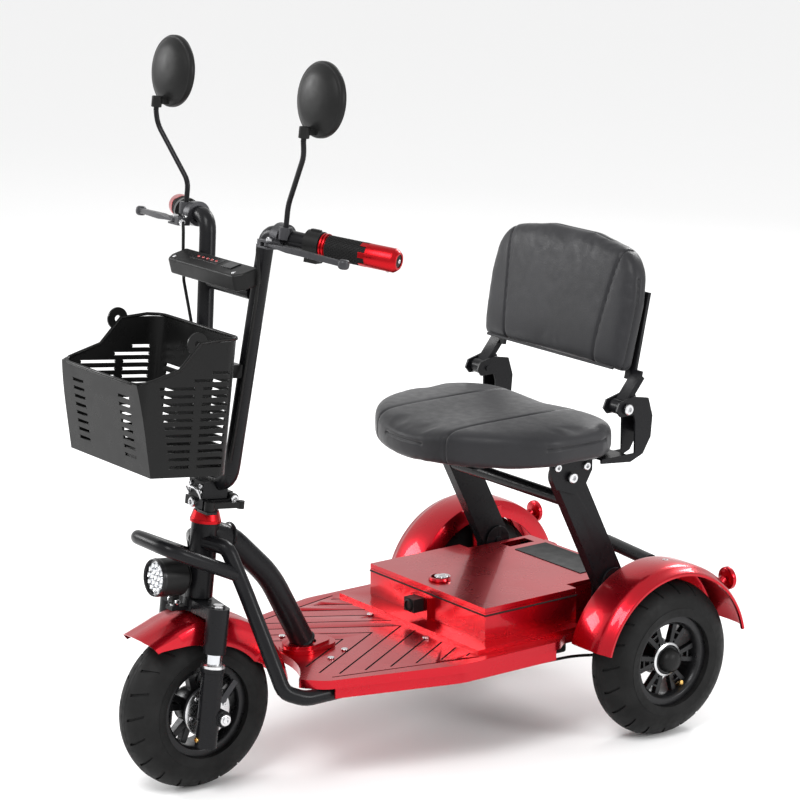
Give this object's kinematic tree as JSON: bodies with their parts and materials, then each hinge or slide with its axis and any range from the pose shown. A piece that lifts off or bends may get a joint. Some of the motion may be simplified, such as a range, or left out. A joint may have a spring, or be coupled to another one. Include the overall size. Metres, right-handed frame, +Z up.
{
  "type": "three-wheeled mobility scooter",
  "caption": "Folding electric mobility scooter with one front and two rear wheels, padded seat with backrest, front basket, twin mirrors and a battery box.",
  "frame": {"origin": "middle of the bounding box at ground level", "axes": "+Z up, the front faces -Y, +X is the rider's left"},
  "size_m": [0.5956, 1.0323, 1.1236],
  "materials": {
    "red_paint": "glossy metallic candy red",
    "red_anodised": "satin red anodised",
    "black_paint": "satin black powder coat",
    "black_plastic": "satin moulded black",
    "headlight_black": "black anodised",
    "clear_lens": "clear",
    "red_lens": "red translucent lens",
    "steel": "zinc plated",
    "chrome": "hard chromed",
    "tyre_rubber": "matte rubber",
    "black_alloy": "black painted alloy",
    "grey_casting": "dark grey cast",
    "grip_rubber": "knurled",
    "cable_black": "smooth sleeve",
    "leather": "grained dark grey",
    "mirror_glass": "convex mirror"
  },
  "bodies": {
    "chassis": {"head_tube": "black_paint", "headset_cup": "red_anodised", "backbone": "black_paint", "down_tube_left": "black_paint", "down_tube_right": "black_paint", "crash_hoop": "black_paint", "deck_plate": "red_paint", "deck_socket": "red_paint", "deck_screws": "steel", "battery_cover": "red_paint", "battery_pack": "black_plastic", "under_box": "black_plastic", "charge_port": "black_plastic", "rear_axle": "black_paint", "seat_feet": "black_paint", "rear_fender_left": "red_paint", "rear_fender_right": "red_paint", "taillights": "red_lens", "rear_bar": "black_paint", "rear_brake_cable": "cable_black"},
    "lid": {"battery_lid": "red_paint", "label_plate": "black_plastic"},
    "key": {"key_lock": "steel"},
    "steering": {"steerer": "black_paint", "fork_crown": "black_paint", "fork_stanchions": "chrome", "front_fender": "red_paint"},
    "headlight": {"headlight_body": "headlight_black", "headlight_lens": "clear_lens"},
    "fork_lower": {"fork_sliders": "black_paint", "front_axle": "steel", "front_brake": "steel"},
    "front_wheel": {"front_tyre": "tyre_rubber", "front_rim": "black_alloy"},
    "rear_wheel_left": {"rear_tyre_left": "tyre_rubber", "rear_rim_left": "black_alloy"},
    "rear_wheel_right": {"rear_tyre_right": "tyre_rubber", "rear_rim_right": "black_alloy"},
    "handlebar": {"handlebar": "black_paint", "bar_tubes": "black_paint", "fold_block": "black_paint", "control_panel": "black_plastic", "grip_left": "grip_rubber", "control_housings": "black_plastic", "lever_perches": "grey_casting", "basket": "black_plastic", "brake_cables": "cable_black", "mirror_stems": "black_paint"},
    "fold_lever": {"fold_lever": "black_paint"},
    "brake_lever_left": {"brake_lever_left": "grey_casting"},
    "brake_lever_right": {"brake_lever_right": "grey_casting"},
    "throttle_grip": {"throttle_grip": "grip_rubber"},
    "switch_slider": {"switch_slider": "black_plastic"},
    "mirror_left": {"mirror_left": "black_plastic"},
    "mirror_right": {"mirror_right": "black_plastic"},
    "posts": {"seat_posts": "black_paint"},
    "seat": {"seat_frame": "black_paint", "seat_cushion": "leather"},
    "backrest": {"backrest_frame": "black_paint", "backrest_cushion": "leather"}
  },
  "joints": [
    {"name": "steering", "type": "hinge", "parent": "chassis", "child": "steering", "pos_m": [0, -0.37143, 0.12872], "axis": [0, 0.1219, 0.9925], "range_deg": [-22, 22]},
    {"name": "fork_suspension", "type": "slide", "parent": "steering", "child": "fork_lower", "axis": [0, 0.1219, 0.9925], "range_m": [0, 0.014], "stiffness_N_per_m": 20000, "springref_m": -0.015},
    {"name": "front_wheel_spin", "type": "hinge", "parent": "fork_lower", "child": "front_wheel", "pos_m": [0, -0.3615, 0.1275], "axis": [1, 0, 0], "continuous": true},
    {"name": "rear_left_wheel_spin", "type": "hinge", "parent": "chassis", "child": "rear_wheel_left", "pos_m": [0.246, 0.3625, 0.1275], "axis": [1, 0, 0], "continuous": true},
    {"name": "rear_right_wheel_spin", "type": "hinge", "parent": "chassis", "child": "rear_wheel_right", "pos_m": [-0.246, 0.3625, 0.1275], "axis": [1, 0, 0], "continuous": true},
    {"name": "handlebar_fold", "type": "hinge", "parent": "steering", "child": "handlebar", "pos_m": [0, -0.29987, 0.44889], "axis": [-1, 0, 0], "range_deg": [0, 50]},
    {"name": "fold_lever_turn", "type": "hinge", "parent": "steering", "child": "fold_lever", "pos_m": [0.031, -0.34843, 0.44729], "axis": [0, -0.1219, -0.9925], "range_deg": [0, 100]},
    {"name": "brake_lever_left_pull", "type": "hinge", "parent": "handlebar", "child": "brake_lever_left", "pos_m": [0.126, -0.30057, 0.85349], "axis": [0, 0.1219, 0.9925], "range_deg": [0, 12], "stiffness_Nm_per_rad": 3, "springref_deg": -5.73},
    {"name": "brake_lever_right_pull", "type": "hinge", "parent": "handlebar", "child": "brake_lever_right", "pos_m": [-0.126, -0.30057, 0.85349], "axis": [0, -0.1219, -0.9925], "range_deg": [0, 12], "stiffness_Nm_per_rad": 3, "springref_deg": -5.73},
    {"name": "throttle_twist", "type": "hinge", "parent": "handlebar", "child": "throttle_grip", "pos_m": [-0.138, -0.26759, 0.85951], "axis": [-0.8841, 0.4559, -0.1023], "range_deg": [0, 60], "stiffness_Nm_per_rad": 0.3, "springref_deg": -11.46},
    {"name": "switch_slide", "type": "slide", "parent": "handlebar", "child": "switch_slider", "axis": [-0.4655, 0.8784, -0.1079], "range_m": [0, 0.0038]},
    {"name": "mirror_left_swivel", "type": "hinge", "parent": "handlebar", "child": "mirror_left", "pos_m": [0.197, -0.28642, 1.01799], "axis": [0, 0.1219, 0.9925], "range_deg": [-20, 20]},
    {"name": "mirror_right_swivel", "type": "hinge", "parent": "handlebar", "child": "mirror_right", "pos_m": [-0.197, -0.28642, 1.01799], "axis": [0, 0.1219, 0.9925], "range_deg": [-20, 20]},
    {"name": "headlight_tilt", "type": "hinge", "parent": "steering", "child": "headlight", "pos_m": [0, -0.39462, 0.30083], "axis": [1, 0, 0], "range_deg": [-6, 10]},
    {"name": "seat_post_fold", "type": "hinge", "parent": "chassis", "child": "posts", "pos_m": [0, 0.3355, 0.236], "axis": [-1, 0, 0], "range_deg": [-40, 0]},
    {"name": "seat_level", "type": "hinge", "parent": "posts", "child": "seat", "pos_m": [0, 0.2415, 0.426], "axis": [-1, 0, 0], "range_deg": [0, 40]},
    {"name": "backrest_fold", "type": "hinge", "parent": "seat", "child": "backrest", "pos_m": [0, 0.3285, 0.53], "axis": [-1, 0, 0], "range_deg": [-85, 0]},
    {"name": "lid_open", "type": "hinge", "parent": "chassis", "child": "lid", "pos_m": [0, 0.403, 0.23], "axis": [-1, 0, 0], "range_deg": [0, 20]},
    {"name": "key_turn", "type": "hinge", "parent": "lid", "child": "key", "pos_m": [-0.014, 0.1245, 0.231], "axis": [0, 0, 1], "range_deg": [0, 90]}
  ],
  "couplings": [
    {"joint": "seat_level", "follows": "seat_post_fold", "ratio": -1}
  ]
}
